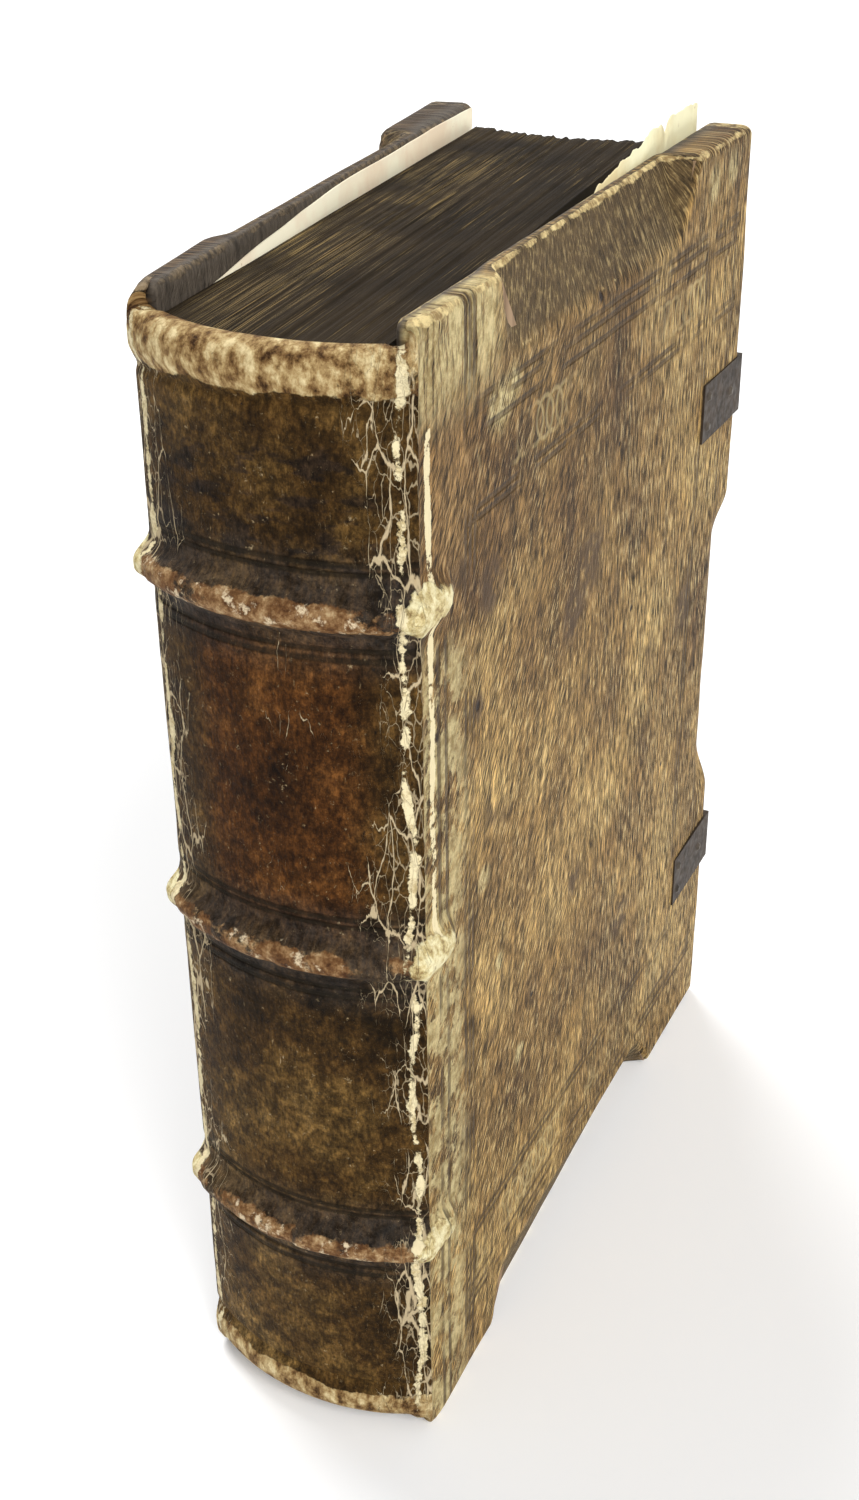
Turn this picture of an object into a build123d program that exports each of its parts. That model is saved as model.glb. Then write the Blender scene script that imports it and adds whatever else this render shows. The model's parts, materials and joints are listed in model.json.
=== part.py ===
from build123d import *

import os
from math import asin, atan, cos, degrees, radians, sin, sqrt, tan

# A thick quarto book: leaves sewn on three raised cords, two bevelled wooden boards and one skin of
# leather over both boards and the back. It stands upright on the tail edges of its boards.
# +Z runs up the spine, the spine faces -Y, and the front board is on the +X side. The origin is the
# middle of the book's base. The one skin of leather is three solids here, parted at the two joints
# where it bends, and so are the cords, whose ends are laced into the boards.

# ---- driving dimensions, in millimetres and degrees ----
BOARD_HEIGHT = 215.0         # covered board, tail to head
BOARD_DEPTH = 156.0          # covered board, joint to fore-edge
SPINE_WIDTH = 48.5           # over the leather, joint to joint
SPINE_ROUND = 7.1            # how far the back bulges behind the joints
WOOD_AT_SPINE = 2.8
WOOD_AT_FORE_EDGE = 9.0
LEATHER = 1.0                # on the outside and edges of a board
SPINE_LEATHER = 1.2
TURN_IN = 0.4                # pared leather on a board's inner face
TURN_IN_WIDTH = 14.0
PAPER = 0.3                  # one loose or pasted leaf
JOINT_GAP = 1.5              # from the hinge line to a board's spine edge

HEAD_SQUARE = 4.3            # how far a board stands past the leaves at head and tail
FORE_SQUARE = 4.8            # and at the fore-edge
BLOCK_CLEAR = 1.05           # from the leaves to each board's inner face, at the joint
BLOCK_AT_FORE_EDGE = 39.4    # thickness of the leaves where they open
BLOCK_LEAN = 8.86            # the leaves lean towards the back board
FORE_HOLLOW = 3.6            # depth of the hollow fore-edge
BACK_AJAR = 0.4
FRONT_AJAR = 3.75

BAND_HEIGHTS = (47.5, 109.65, 171.8)
CORD_RADIUS = 2.2
CORD_SUNK = 1.0              # how far a cord beds into the folds of the leaves
BAND_FLANK = 1.4             # fillet between a raised band and its panel
CAP_INSET = 3.6              # from a board's end to the end of the spine leather
CAP_HEIGHT = 7.0
CAP_PROUD = 0.8
CAP_ROLL = 4.4               # how far the cap rolls in over the leaves
ENDBAND_RADIUS = 1.4
SKIN_CLEAR = 0.9             # from the hinge line to the spine leather
RIDGE_CLEAR = 2.5            # and to the raised bands, which the bulges over the slips swing past
CAP_CLEAR = 0.9              # from the rolled cap to the sides of the leaves

SLIP_RADIUS = 2.0
SLIP_SUNK = 2.2              # of the slip's thickness, the part that lies in the board
SLIP_LENGTH = 9.0            # from the hinge line to the lacing hole
LACING_HOLE_RADIUS = 2.2

BEVEL_WIDTH = 14.2           # of the long bevels along head and tail
BEVEL_START = 29.5           # depth where they start, at the very edge
BEVEL_END = 122.0
BEVEL_RAMP = 10.0            # how much shorter they are at their inner side
FRONT_BEVEL_EDGE = 1.0       # wood left at the thin edge
BACK_BEVEL_EDGE = 1.4
FORE_BEVEL_WIDTH = 12.0
FORE_BEVEL_DEPTH = 3.2
FORE_BEVEL_LOW = 61.5
FORE_BEVEL_HIGH = 137.6
FORE_BEVEL_RAMP = 8.0

PLATE_HEIGHTS = (46.5, 161.2)
PLATE_LENGTH = 24.0
PLATE_WIDTH = 12.5
PLATE_THICK = 1.2
PLATE_PROUD = 0.5
PLATE_FLANGE = 6.0           # how far a plate wraps down over the fore-edge
NAIL_RADIUS = 0.6
NAIL_LENGTH = 6.0
NAIL_HEAD_RADIUS = 1.1
NAIL_HEAD_HEIGHT = 0.5
NAIL_INSET = 3.0             # from a plate's edges to its nails

BEYOND = 5.0                 # how far a cutting shape reaches past the face that it cuts
REST_DEPTH = 140.0           # depth from the joint of the point that marks the resting edge

PASTEDOWN_MARGIN = 3.0       # from a board's ends and fore-edge to the pasted leaf
PASTEDOWN_SLANT = 4.5        # how much lower it ends by the spine
LEAF_FOOT = 5.0
LEAF_DEPTH = 151.0           # the torn leaf's reach from the joint
# Torn top of the loose leaf: depth from the joint, and height over the board's head.
TORN_EDGE = ((78.0, -6.0), (88.0, -0.5), (103.0, 1.6), (113.0, 2.6), (121.0, 4.6), (126.5, 4.2),
             (129.0, 1.4), (132.0, 4.6), (138.0, 4.2), (144.0, 4.9), (LEAF_DEPTH, 4.4))

# ---- worked out from them ----
COVERED_AT_SPINE = LEATHER + WOOD_AT_SPINE + TURN_IN
BLOCK_AT_SPINE = SPINE_WIDTH - 2 * (COVERED_AT_SPINE + BLOCK_CLEAR)
BLOCK_DEPTH = BOARD_DEPTH - FORE_SQUARE
BACK_RADIUS = ((SPINE_WIDTH / 2) ** 2 + SPINE_ROUND ** 2) / (2 * SPINE_ROUND)
BACK_CENTRE = BACK_RADIUS - SPINE_ROUND
LEAVES_RADIUS = BACK_RADIUS - SPINE_LEATHER
JOINT_ANGLE = degrees(asin(SPINE_WIDTH / 2 / BACK_RADIUS))
SKIN_ANGLE = JOINT_ANGLE - degrees(SKIN_CLEAR / BACK_RADIUS)
RIDGE_ANGLE = JOINT_ANGLE - degrees(RIDGE_CLEAR / BACK_RADIUS)
CAP_ANGLE = degrees(asin((BLOCK_AT_SPINE / 2 - CAP_CLEAR) / (BACK_RADIUS - CAP_ROLL)))
TAPER = degrees(atan((WOOD_AT_FORE_EDGE - WOOD_AT_SPINE) / BOARD_DEPTH))
BLOCK_SHIFT = BLOCK_DEPTH * tan(radians(BLOCK_LEAN))
BLOCK_CORNER = BACK_CENTRE - sqrt(LEAVES_RADIUS ** 2 - (BLOCK_AT_SPINE / 2) ** 2)
SWELL = (BLOCK_AT_FORE_EDGE - BLOCK_AT_SPINE) / 2
BACK_TURN = degrees(atan((BLOCK_SHIFT + SWELL) / (BLOCK_DEPTH - BLOCK_CORNER))) + TAPER + BACK_AJAR
FRONT_TURN = degrees(atan((BLOCK_SHIFT - SWELL) / (BLOCK_DEPTH - BLOCK_CORNER))) - TAPER - FRONT_AJAR
SLIP_CENTRE = -LEATHER + SLIP_RADIUS - SLIP_SUNK


# ---- the boards, each in its own frame: x outwards, y from the joint, z up, covered face at x = 0 ----
def wood_at(depth):
    """Thickness of the tapered board at a depth from the joint."""
    return WOOD_AT_SPINE + (WOOD_AT_FORE_EDGE - WOOD_AT_SPINE) * depth / BOARD_DEPTH


def inner_face(depth):
    """Where the covered board's inner face lies at a depth from the joint."""
    return -LEATHER - wood_at(depth) - TURN_IN


def prism(points, low, high):
    """A plan outline carried up from one height to another."""
    face = make_face(Polyline(*points, close=True))
    return Pos(0, 0, low) * extrude(face, high - low, dir=(0, 0, 1))


def side_prism(points, low, high):
    """An outline of depths and heights carried outwards from one x to another."""
    face = make_face(Polyline(*[(low, depth, height) for depth, height in points], close=True))
    return extrude(face, high - low, dir=(1, 0, 0))


def slab(outside, inside, edge):
    """The wood of a board, grown outwards, inwards and round its three open edges."""
    outer = outside - LEATHER
    end = BOARD_DEPTH - LEATHER + edge
    inner_start = -LEATHER - wood_at(JOINT_GAP) - inside
    inner_end = -LEATHER - wood_at(end) - inside
    points = [(outer, JOINT_GAP), (outer, end), (inner_end, end), (inner_start, JOINT_GAP)]
    return prism(points, LEATHER - edge, BOARD_HEIGHT - LEATHER + edge)


def head_bevel(grow, edge_left):
    """The cut of the long bevel along the head, stopped by a slanting ramp at each end."""
    top = BOARD_HEIGHT + BEVEL_WIDTH / 2
    low = BOARD_HEIGHT - BEVEL_WIDTH
    face = grow - LEATHER
    sections = []
    for depth in (BEVEL_START, BEVEL_END):
        fall = (wood_at(depth) - edge_left) * (top - low) / BEVEL_WIDTH
        points = [(face, depth, low), (face - fall, depth, top),
                  (face + BEYOND, depth, top), (face + BEYOND, depth, low)]
        sections.append(make_face(Polyline(*points, close=True)))
    ramp = BEVEL_RAMP * (top - low) / BEVEL_WIDTH
    near = BEVEL_START + BEVEL_RAMP + grow
    far = BEVEL_END - BEVEL_RAMP - grow
    stops = [(near, low), (far, low), (far + ramp, top), (near - ramp, top)]
    return loft(sections, ruled=True) & side_prism(stops, -2 * WOOD_AT_FORE_EDGE, 2 * WOOD_AT_FORE_EDGE)


def fore_bevel(grow):
    """The cut of the short bevel in the middle of the fore-edge."""
    face = grow - LEATHER
    start = BOARD_DEPTH - FORE_BEVEL_WIDTH
    end = BOARD_DEPTH + FORE_BEVEL_WIDTH / 2
    fall = FORE_BEVEL_DEPTH * (end - start) / FORE_BEVEL_WIDTH
    cut = prism([(face, start), (face - fall, end), (face + BEYOND, end), (face + BEYOND, start)],
                FORE_BEVEL_LOW - FORE_BEVEL_RAMP, FORE_BEVEL_HIGH + FORE_BEVEL_RAMP)
    ramp = FORE_BEVEL_RAMP * (end - start) / FORE_BEVEL_WIDTH
    low = FORE_BEVEL_LOW + FORE_BEVEL_RAMP + grow
    high = FORE_BEVEL_HIGH - FORE_BEVEL_RAMP - grow
    stops = [(start, low), (start, high), (end, high + ramp), (end, low - ramp)]
    return cut & side_prism(stops, -2 * WOOD_AT_FORE_EDGE, 2 * WOOD_AT_FORE_EDGE)


def bevelled(board, grow, edge_left):
    """A board with its head, tail and fore-edge bevels cut."""
    head = head_bevel(grow, edge_left)
    tail = mirror(head, about=Plane.XY.offset(BOARD_HEIGHT / 2))
    return board - head - tail - fore_bevel(grow)


def slip(height, grow):
    """A cord's laced end on the outside of a board, round-ended over its lacing hole."""
    radius = SLIP_RADIUS + grow
    half = make_face([Line((0, JOINT_GAP), (radius, JOINT_GAP)),
                      Line((radius, JOINT_GAP), (radius, SLIP_LENGTH)),
                      JernArc((radius, SLIP_LENGTH), (0, 1), radius, 90),
                      Line((0, SLIP_LENGTH + radius), (0, JOINT_GAP))])
    return Pos(SLIP_CENTRE, 0, height) * revolve(half, Axis.Y)


def lacing_hole(height):
    """The hole through the wood, from the slip to the board's inner face."""
    inner = -LEATHER - wood_at(SLIP_LENGTH)
    bar = Rot(0, 90, 0) * Cylinder(
        LACING_HOLE_RADIUS, SLIP_CENTRE - inner, align=(Align.CENTER, Align.CENTER, Align.MIN))
    return Pos(inner, SLIP_LENGTH, height) * bar


def half_space(side):
    """A block that holds everything on one side of the lacing holes' middle."""
    reach = 4 * LACING_HOLE_RADIUS
    return Pos(0, SLIP_LENGTH + side * reach / 2, BOARD_HEIGHT / 2) * Box(8 * reach, reach, BOARD_HEIGHT)


def laced_pieces():
    """The three slips and the three pegs that wedge them, as two groups."""
    slips = []
    pegs = []
    for height in BAND_HEIGHTS:
        hole = lacing_hole(height)
        whole_slip = slip(height, 0) + (hole & half_space(-1))
        slips.append(whole_slip)
        pegs.append((hole & half_space(1)) - whole_slip)
    return slips, pegs


def bulges():
    """The leather's rounded rise over each slip."""
    reach = 4 * SLIP_LENGTH
    above = Pos(-SLIP_RADIUS + reach / 2, SLIP_LENGTH, BOARD_HEIGHT / 2) * Box(reach, reach, BOARD_HEIGHT)
    return [slip(height, LEATHER) & above for height in BAND_HEIGHTS]


def plate(height):
    """A catch plate let into the leather, bent down over the fore-edge."""
    start = BOARD_DEPTH - PLATE_LENGTH
    end = BOARD_DEPTH + PLATE_THICK
    under = PLATE_PROUD - PLATE_THICK
    points = [(PLATE_PROUD, start), (PLATE_PROUD, end), (-PLATE_FLANGE, end),
              (-PLATE_FLANGE, BOARD_DEPTH), (under, BOARD_DEPTH), (under, start)]
    return prism(points, height - PLATE_WIDTH / 2, height + PLATE_WIDTH / 2)


def nail_places(height):
    """Two nails at a plate's inner end and one near the fore-edge."""
    start = BOARD_DEPTH - PLATE_LENGTH + NAIL_INSET
    rise = PLATE_WIDTH / 2 - NAIL_INSET
    return [(start, height - rise), (start, height + rise), (BOARD_DEPTH - 2 * NAIL_INSET, height)]


def nail(depth, height):
    """One nail, driven square to the board's face through its plate."""
    shank = Rot(0, 90, 0) * Cylinder(
        NAIL_RADIUS, NAIL_LENGTH, align=(Align.CENTER, Align.CENTER, Align.MAX))
    head = Rot(0, 90, 0) * Cone(
        NAIL_HEAD_RADIUS, NAIL_RADIUS, NAIL_HEAD_HEIGHT, align=(Align.CENTER, Align.CENTER, Align.MIN))
    return Pos(PLATE_PROUD, depth, height) * (shank + head)


def board_window():
    """The middle of the inner face, inside the turned-in leather."""
    end = BOARD_DEPTH - TURN_IN_WIDTH
    inside = -3 * WOOD_AT_FORE_EDGE
    points = [(-LEATHER - wood_at(0), 0), (-LEATHER - wood_at(end), end), (inside, end), (inside, 0)]
    return prism(points, TURN_IN_WIDTH, BOARD_HEIGHT - TURN_IN_WIDTH)


def board_and_leather(edge_left, slips, pegs, plates, nails):
    """The wooden board with its holes, and the leather wrapped round it."""
    core = bevelled(slab(0, 0, 0), 0, edge_left)
    skin = bevelled(slab(LEATHER, TURN_IN, LEATHER), LEATHER, edge_left)
    for bulge in bulges():
        skin += bulge
    leather = skin - core - board_window()
    wood = core
    for piece in slips + pegs + plates + nails:
        wood -= piece
    for piece in slips + plates + nails:
        leather -= piece
    return wood, leather


def inner_sheet(outline):
    """A leaf lying on the board's inner face, from an outline of depths and heights."""
    far = 2 * BOARD_DEPTH
    layer = [(inner_face(0), 0), (inner_face(far), far),
             (inner_face(far) - PAPER, far), (inner_face(0) - PAPER, 0)]
    thick = 2 * wood_at(far)
    return prism(layer, 0, 2 * BOARD_HEIGHT) & side_prism(outline, -thick, thick)


def pastedown():
    """The leaf pasted inside the back board, cut on a slant at its head."""
    start = JOINT_GAP + PASTEDOWN_MARGIN
    end = BOARD_DEPTH - PASTEDOWN_MARGIN
    head = BOARD_HEIGHT - PASTEDOWN_MARGIN / 2
    foot = [(start, PASTEDOWN_MARGIN), (end, PASTEDOWN_MARGIN)]
    return inner_sheet(foot + [(end, head), (start, head - PASTEDOWN_SLANT)])


def torn_leaf():
    """The loose leaf inside the front board, torn along its head."""
    start = JOINT_GAP + PASTEDOWN_MARGIN
    first_depth, first_height = TORN_EDGE[0]
    top = [(depth, BOARD_HEIGHT + height) for depth, height in reversed(TORN_EDGE)]
    foot = [(start, LEAF_FOOT), (LEAF_DEPTH, LEAF_FOOT)]
    return inner_sheet(foot + top + [(start, BOARD_HEIGHT + first_height)])


def front_place(piece):
    """Set a board-frame piece at the front joint."""
    return Pos(SPINE_WIDTH / 2, 0, 0) * Rot(0, 0, FRONT_TURN) * piece


def back_place(piece):
    """Set a board-frame piece, mirrored, at the back joint."""
    return Pos(-SPINE_WIDTH / 2, 0, 0) * Rot(0, 0, BACK_TURN) * mirror(piece, about=Plane.YZ)


# ---- the leaves and the back ----
def sector(section, low, high):
    """A section of radii and heights, swung round the back's upright axis between two angles."""
    swung = revolve(section, Axis.Z, revolution_arc=high - low)
    return Pos(0, BACK_CENTRE, 0) * Rot(0, 0, low - 90) * swung


def band_of(radius_low, radius_high, low, high):
    """A plain rectangle of radii and heights."""
    return Plane.XZ * Pos((radius_low + radius_high) / 2, (low + high) / 2) * Rectangle(
        radius_high - radius_low, high - low)


def cord_section(height, grow=0):
    """A sewing cord's round section on the back of the leaves."""
    return Plane.XZ * Pos(LEAVES_RADIUS + CORD_RADIUS - CORD_SUNK, height) * Circle(CORD_RADIUS + grow)


def cord(height):
    """One raised cord across the back."""
    return sector(cord_section(height), -RIDGE_ANGLE, RIDGE_ANGLE)


def cap_centres():
    """Heights of the middle of the tail cap and of the head cap."""
    low = CAP_INSET + CAP_HEIGHT / 2
    return low, BOARD_HEIGHT - low


def endband_section(height):
    """The round section of the core under a cap."""
    return Plane.XZ * Pos(BACK_RADIUS - CAP_ROLL / 2, height) * Circle(ENDBAND_RADIUS)


def endband(height):
    """The core under a cap, on the edge of the leaves."""
    return sector(endband_section(height), -CAP_ANGLE, CAP_ANGLE)


def cap_section(height):
    """The leather rolled in over an endband."""
    high = BACK_RADIUS + CAP_PROUD
    return Plane.XZ * Pos(high - (CAP_ROLL + CAP_PROUD) / 2, height) * RectangleRounded(
        CAP_ROLL + CAP_PROUD, CAP_HEIGHT, CAP_ROLL / 2)


def ridge_section(height):
    """The leather over one cord, with a filleted flank on each side."""
    ridge = cord_section(height, SPINE_LEATHER) + band_of(
        LEAVES_RADIUS, BACK_RADIUS, height - 3 * CORD_RADIUS, height + 3 * CORD_RADIUS)
    ridge = ridge & band_of(LEAVES_RADIUS, BACK_RADIUS * 1.5, 0, BOARD_HEIGHT)
    corners = [corner for corner in ridge.vertices()
               if abs(corner.X - BACK_RADIUS) < 0.01 and abs(corner.Z - height) < 2 * CORD_RADIUS]
    return fillet(corners, BAND_FLANK)


def spine_leather():
    """The leather over the back: plain by the joints, banded between them, and capped over the leaves."""
    plain = band_of(LEAVES_RADIUS, BACK_RADIUS, CAP_INSET, BOARD_HEIGHT - CAP_INSET)
    banded = plain
    for height in BAND_HEIGHTS:
        banded = banded + ridge_section(height) - cord_section(height)
    capped = banded
    for height in cap_centres():
        capped = capped + cap_section(height) - endband_section(height)
    skin = sector(capped, -CAP_ANGLE, CAP_ANGLE)
    skin += sector(banded, -RIDGE_ANGLE, -CAP_ANGLE)
    skin += sector(banded, CAP_ANGLE, RIDGE_ANGLE)
    skin += sector(plain, -SKIN_ANGLE, -RIDGE_ANGLE)
    skin += sector(plain, RIDGE_ANGLE, SKIN_ANGLE)
    return skin


def text_block():
    """All the leaves: round at the back, leaning, and hollow at the fore-edge."""
    half = BLOCK_AT_SPINE / 2
    open_half = BLOCK_AT_FORE_EDGE / 2
    near_left = (-half, BLOCK_CORNER)
    near_right = (half, BLOCK_CORNER)
    far_left = (-BLOCK_SHIFT - open_half, BLOCK_DEPTH)
    far_right = (-BLOCK_SHIFT + open_half, BLOCK_DEPTH)
    outline = [ThreePointArc(near_left, (0, BACK_CENTRE - LEAVES_RADIUS), near_right),
               Line(near_right, far_right),
               ThreePointArc(far_right, (-BLOCK_SHIFT, BLOCK_DEPTH - FORE_HOLLOW), far_left),
               Line(far_left, near_left)]
    leaves = extrude(make_face(outline), BOARD_HEIGHT - 2 * HEAD_SQUARE, dir=(0, 0, 1))
    leaves = Pos(0, 0, HEAD_SQUARE) * leaves
    for height in BAND_HEIGHTS:
        leaves -= cord(height)
    for height in cap_centres():
        low = height - CAP_HEIGHT / 2
        rebate = band_of(BACK_RADIUS - CAP_ROLL, BACK_RADIUS, low, low + CAP_HEIGHT)
        leaves -= sector(rebate, -JOINT_ANGLE, JOINT_ANGLE)
    return leaves


# ---- every piece, where it stands ----
pieces = {}
pieces["text_block"] = [text_block()]
pieces["spine_leather"] = [spine_leather()]
for number, height in enumerate(BAND_HEIGHTS, start=1):
    pieces[f"sewing_cord_{number}"] = [cord(height)]
for name, height in zip(("tailband", "headband"), cap_centres()):
    pieces[name] = [endband(height)]

slips, pegs = laced_pieces()
plates = [plate(height) for height in PLATE_HEIGHTS]
nails = [nail(*place) for height in PLATE_HEIGHTS for place in nail_places(height)]
front_wood, front_skin = board_and_leather(FRONT_BEVEL_EDGE, slips, pegs, plates, nails)
back_wood, back_skin = board_and_leather(BACK_BEVEL_EDGE, slips, pegs, [], [])
held_plates = [one - Compound(nails) for one in plates]

front = {"front_board": [front_wood], "front_leather": [front_skin], "front_leaf": [torn_leaf()],
         "front_cord_slips": slips, "front_pegs": pegs,
         "catch_plate_lower": [held_plates[0]], "catch_plate_upper": [held_plates[1]],
         "catch_plate_nails": nails}
back = {"back_board": [back_wood], "back_leather": [back_skin], "back_pastedown": [pastedown()],
        "back_cord_slips": slips, "back_pegs": pegs}
for name, solids in front.items():
    pieces[name] = [front_place(solid) for solid in solids]
for name, solids in back.items():
    pieces[name] = [back_place(solid) for solid in solids]

# The whole book's box is centred on the origin, with the boards' tail edges at z = 0.
whole = Compound([solid for group in pieces.values() for piece in group for solid in piece.solids()])
box = whole.bounding_box()
shift = Pos(-box.center().X, -box.center().Y, -box.min.Z)

os.makedirs("parts", exist_ok=True)
for name, group in pieces.items():
    solids = [solid for piece in group for solid in (shift * piece).solids()]
    export_step(solids[0] if len(solids) == 1 else Compound(solids), f"parts/{name}.step")
    print(f"{name}: {len(solids)} solids, {sum(solid.volume for solid in solids):.1f} mm3")

for name, side, turn in (("front", 1, FRONT_TURN), ("back", -1, BACK_TURN)):
    hinge = Vector(side * SPINE_WIDTH / 2, 0, 0) + shift.position
    print(f"{name} hinge at {hinge.X:.3f}, {hinge.Y:.3f}, cover turned {turn:.3f} degrees")
rest = shift * front_place(Pos(-LEATHER - wood_at(REST_DEPTH) / 2, REST_DEPTH, 0))
rest = rest.position
print(f"tail rest at {rest.X:.3f}, {rest.Y:.3f}, {rest.Z:.3f}; box {box.size}")
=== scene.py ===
# %% [markdown]
# # An old book in worn leather
# The real thing is a thick quarto: leaves sewn on three cords, two bevelled wooden boards, and one skin of
# blind-tooled leather over all of it. The solid model already holds every piece at its size, so it is loaded
# first as a fixed frame, and everything below is finish laid on that frame.

import json
import math

import bmesh
import bpy
import numpy as np
from mathutils import Matrix, Vector


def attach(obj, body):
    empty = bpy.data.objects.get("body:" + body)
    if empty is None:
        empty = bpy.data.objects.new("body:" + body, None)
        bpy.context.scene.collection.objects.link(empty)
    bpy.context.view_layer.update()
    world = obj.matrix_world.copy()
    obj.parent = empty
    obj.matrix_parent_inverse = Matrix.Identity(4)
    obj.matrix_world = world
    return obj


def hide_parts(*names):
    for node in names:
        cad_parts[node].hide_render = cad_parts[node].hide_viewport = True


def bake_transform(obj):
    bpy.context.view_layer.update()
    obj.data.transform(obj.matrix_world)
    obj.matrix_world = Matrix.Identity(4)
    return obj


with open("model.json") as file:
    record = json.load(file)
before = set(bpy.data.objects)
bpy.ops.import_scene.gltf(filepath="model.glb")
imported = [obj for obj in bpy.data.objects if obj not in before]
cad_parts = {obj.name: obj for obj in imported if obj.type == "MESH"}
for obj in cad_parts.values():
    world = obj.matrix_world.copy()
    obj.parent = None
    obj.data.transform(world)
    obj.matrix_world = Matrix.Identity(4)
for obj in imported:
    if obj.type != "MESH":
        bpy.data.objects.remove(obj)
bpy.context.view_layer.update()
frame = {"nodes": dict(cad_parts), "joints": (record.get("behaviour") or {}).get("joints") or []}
nodes = frame["nodes"]

# %% [markdown]
# ## Sizes
# Lengths are in millimetres, as a binder would give them, and are turned into metres when a mesh is made.
# The hinge lines come from the frame. A board has its own directions: outwards, deep (from the joint to the
# fore-edge) and up.

# %% Sizes and places
MM = 0.001
HEIGHT = 215.0
DEPTH = 156.0
LEATHER = 1.0
WOOD_AT_SPINE = 2.8
WOOD_AT_FORE_EDGE = 9.0
TURN_IN = 0.4
SPINE_ROUND = 7.1
SQUARE = 4.3
FORE_SQUARE = 4.8
LEAVES_AT_FORE_EDGE = 39.4
LEAVES_LEAN = 8.86
FORE_HOLLOW = 3.6
BANDS = (47.5, 109.65, 171.8)
FRONT_TURN = 2.488
BACK_TURN = 11.703

hinges = {joint["child"]: np.array(joint["pos_m"][:2]) / MM for joint in frame["joints"]}
spine_middle = (hinges["front_cover"] + hinges["back_cover"]) / 2
SPINE_WIDTH = hinges["front_cover"][0] - hinges["back_cover"][0]
LEAVES_AT_SPINE = SPINE_WIDTH - 2 * (LEATHER + WOOD_AT_SPINE + TURN_IN + 1.05)
BACK_RADIUS = ((SPINE_WIDTH / 2) ** 2 + SPINE_ROUND ** 2) / (2 * SPINE_ROUND)
JOINT_ANGLE = math.asin(SPINE_WIDTH / 2 / BACK_RADIUS)
back_axis = spine_middle + np.array([0, BACK_RADIUS - SPINE_ROUND])
print("spine", round(SPINE_WIDTH, 2), "mm wide, round to a radius of", round(BACK_RADIUS, 2))

# %% [markdown]
# ## Mesh helpers
# Most pieces here are a block with six faces that has been bent: a covered board, a leaf, the stack of
# leaves. So one helper makes the skin of a block as a lattice of three parameters, and each piece is a
# formula from those parameters to places. Shared edges are merged, so the skin is closed.


# %% Lattice, grid and noise helpers
def smooth(edge0, edge1, value):
    """0 below edge0, 1 above edge1, and an S-curve between."""
    t = np.clip((value - edge0) / (edge1 - edge0), 0, 1)
    return t * t * (3 - 2 * t)


def grid_quads(rows, columns):
    """Corner numbers of the quads of a grid whose vertices run along its rows."""
    first = (np.arange(rows - 1)[:, None] * columns + np.arange(columns - 1)).ravel()
    return np.stack([first, first + 1, first + columns + 1, first + columns], 1)


def block_lattice(across, deep, up):
    """Parameters and quads of a block's closed skin: each argument lists the steps along one side."""
    points, quads, count = [], [], 0
    for axis, (a, b) in enumerate(((1, 2), (0, 2), (0, 1))):
        steps = (across, deep, up)
        for end in (0, -1):
            first, second = np.meshgrid(steps[a], steps[b], indexing="ij")
            face = np.zeros((first.size, 3))
            face[:, a] = first.ravel()
            face[:, b] = second.ravel()
            face[:, axis] = steps[axis][end]
            points.append(face)
            quads.append(grid_quads(*first.shape) + count)
            count += len(face)
    points = np.concatenate(points)
    quads = np.concatenate(quads)
    _, keep, where = np.unique(np.round(points, 5), axis=0, return_index=True, return_inverse=True)
    return points[keep], where.ravel()[quads]


def steps(low, high, middle, edge, rim=4):
    """Even steps from low to high, with more of them in a rim of that width at both ends."""
    return np.unique(np.concatenate([np.linspace(low, low + edge, rim), np.linspace(low + edge, high - edge, middle),
                                     np.linspace(high - edge, high, rim)]))


def noise(x, y, cell, seed):
    """Smooth noise from -1 to 1: a lattice of random heights, blended with an S-curve between them."""
    table = np.random.default_rng(seed).uniform(-1, 1, (97, 97))
    gx, gy = np.asarray(x) / cell + 500, np.asarray(y) / cell + 500
    ix, iy = np.floor(gx).astype(int), np.floor(gy).astype(int)
    fx, fy = smooth(0, 1, gx - ix), smooth(0, 1, gy - iy)
    low = table[ix % 97, iy % 97] * (1 - fx) + table[(ix + 1) % 97, iy % 97] * fx
    high = table[ix % 97, (iy + 1) % 97] * (1 - fx) + table[(ix + 1) % 97, (iy + 1) % 97] * fx
    return low * (1 - fy) + high * fy


def make_piece(name, places, quads, uv, masks=None, outward=True):
    """A mesh object from places in millimetres, with a UV map in decimetres and named point masks."""
    mesh = bpy.data.meshes.new(name)
    mesh.from_pydata((places * MM).tolist(), [], quads.tolist())
    corners = np.zeros(len(mesh.loops), int)
    mesh.loops.foreach_get("vertex_index", corners)
    layer = mesh.uv_layers.new(name="place")
    layer.data.foreach_set("uv", (uv[corners] / 100).astype(np.float32).ravel())
    for key, values in (masks or {}).items():
        mesh.attributes.new(key, "FLOAT", "POINT").data.foreach_set("value", values.astype(np.float32))
    if outward:
        work = bmesh.new()
        work.from_mesh(mesh)
        bmesh.ops.recalc_face_normals(work, faces=work.faces)
        work.to_mesh(mesh)
        work.free()
    mesh.polygons.foreach_set("use_smooth", [True] * len(mesh.polygons))
    piece = bpy.data.objects.new(name, mesh)
    bpy.context.scene.collection.objects.link(piece)
    print(name, len(mesh.vertices), "vertices", len(mesh.polygons), "faces")
    return piece


def finish_piece(piece, material, body=None, stands_for=()):
    """Give a piece its material and slot, hide the plain solids that it stands for, and set it riding."""
    piece.data.materials.clear()
    piece.data.materials.append(material)
    if stands_for:
        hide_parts(*stands_for)
    if body:
        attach(piece, body)
    return piece


# %% [markdown]
# ## Shader helpers
# A material is a small tree of nodes. `add` makes one node and wires its inputs in one line: a number is set
# on the socket, and another node's output is linked to it. The effects that several materials share, such as
# long hair-like streaks, craquelure and scuffing, are node groups.


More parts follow.
